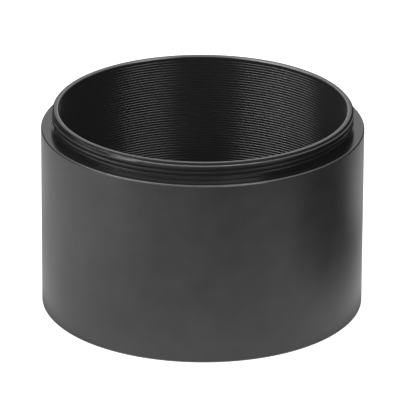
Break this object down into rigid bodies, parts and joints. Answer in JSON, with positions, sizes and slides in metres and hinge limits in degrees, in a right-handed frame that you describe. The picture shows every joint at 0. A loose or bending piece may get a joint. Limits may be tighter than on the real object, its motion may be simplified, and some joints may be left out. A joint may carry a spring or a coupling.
{
  "type": "lens tube",
  "caption": "Threaded extension tube for optics: a plain black barrel with a male fine thread on a stepped spigot and a matching female thread in its foot.",
  "frame": {"origin": "centre of the foot's end face, where the tube rests", "axes": "+Z along the optical axis from the foot towards the male thread; the tube is round about Z, so X and Y are free"},
  "size_m": [0.0515, 0.0514, 0.033],
  "materials": {
    "black_anodised": "bead-blasted and black-anodised satin, with fine turning marks on the threads and in the bore"
  },
  "bodies": {
    "root": {"lens_tube": "black_anodised"}
  },
  "joints": []
}
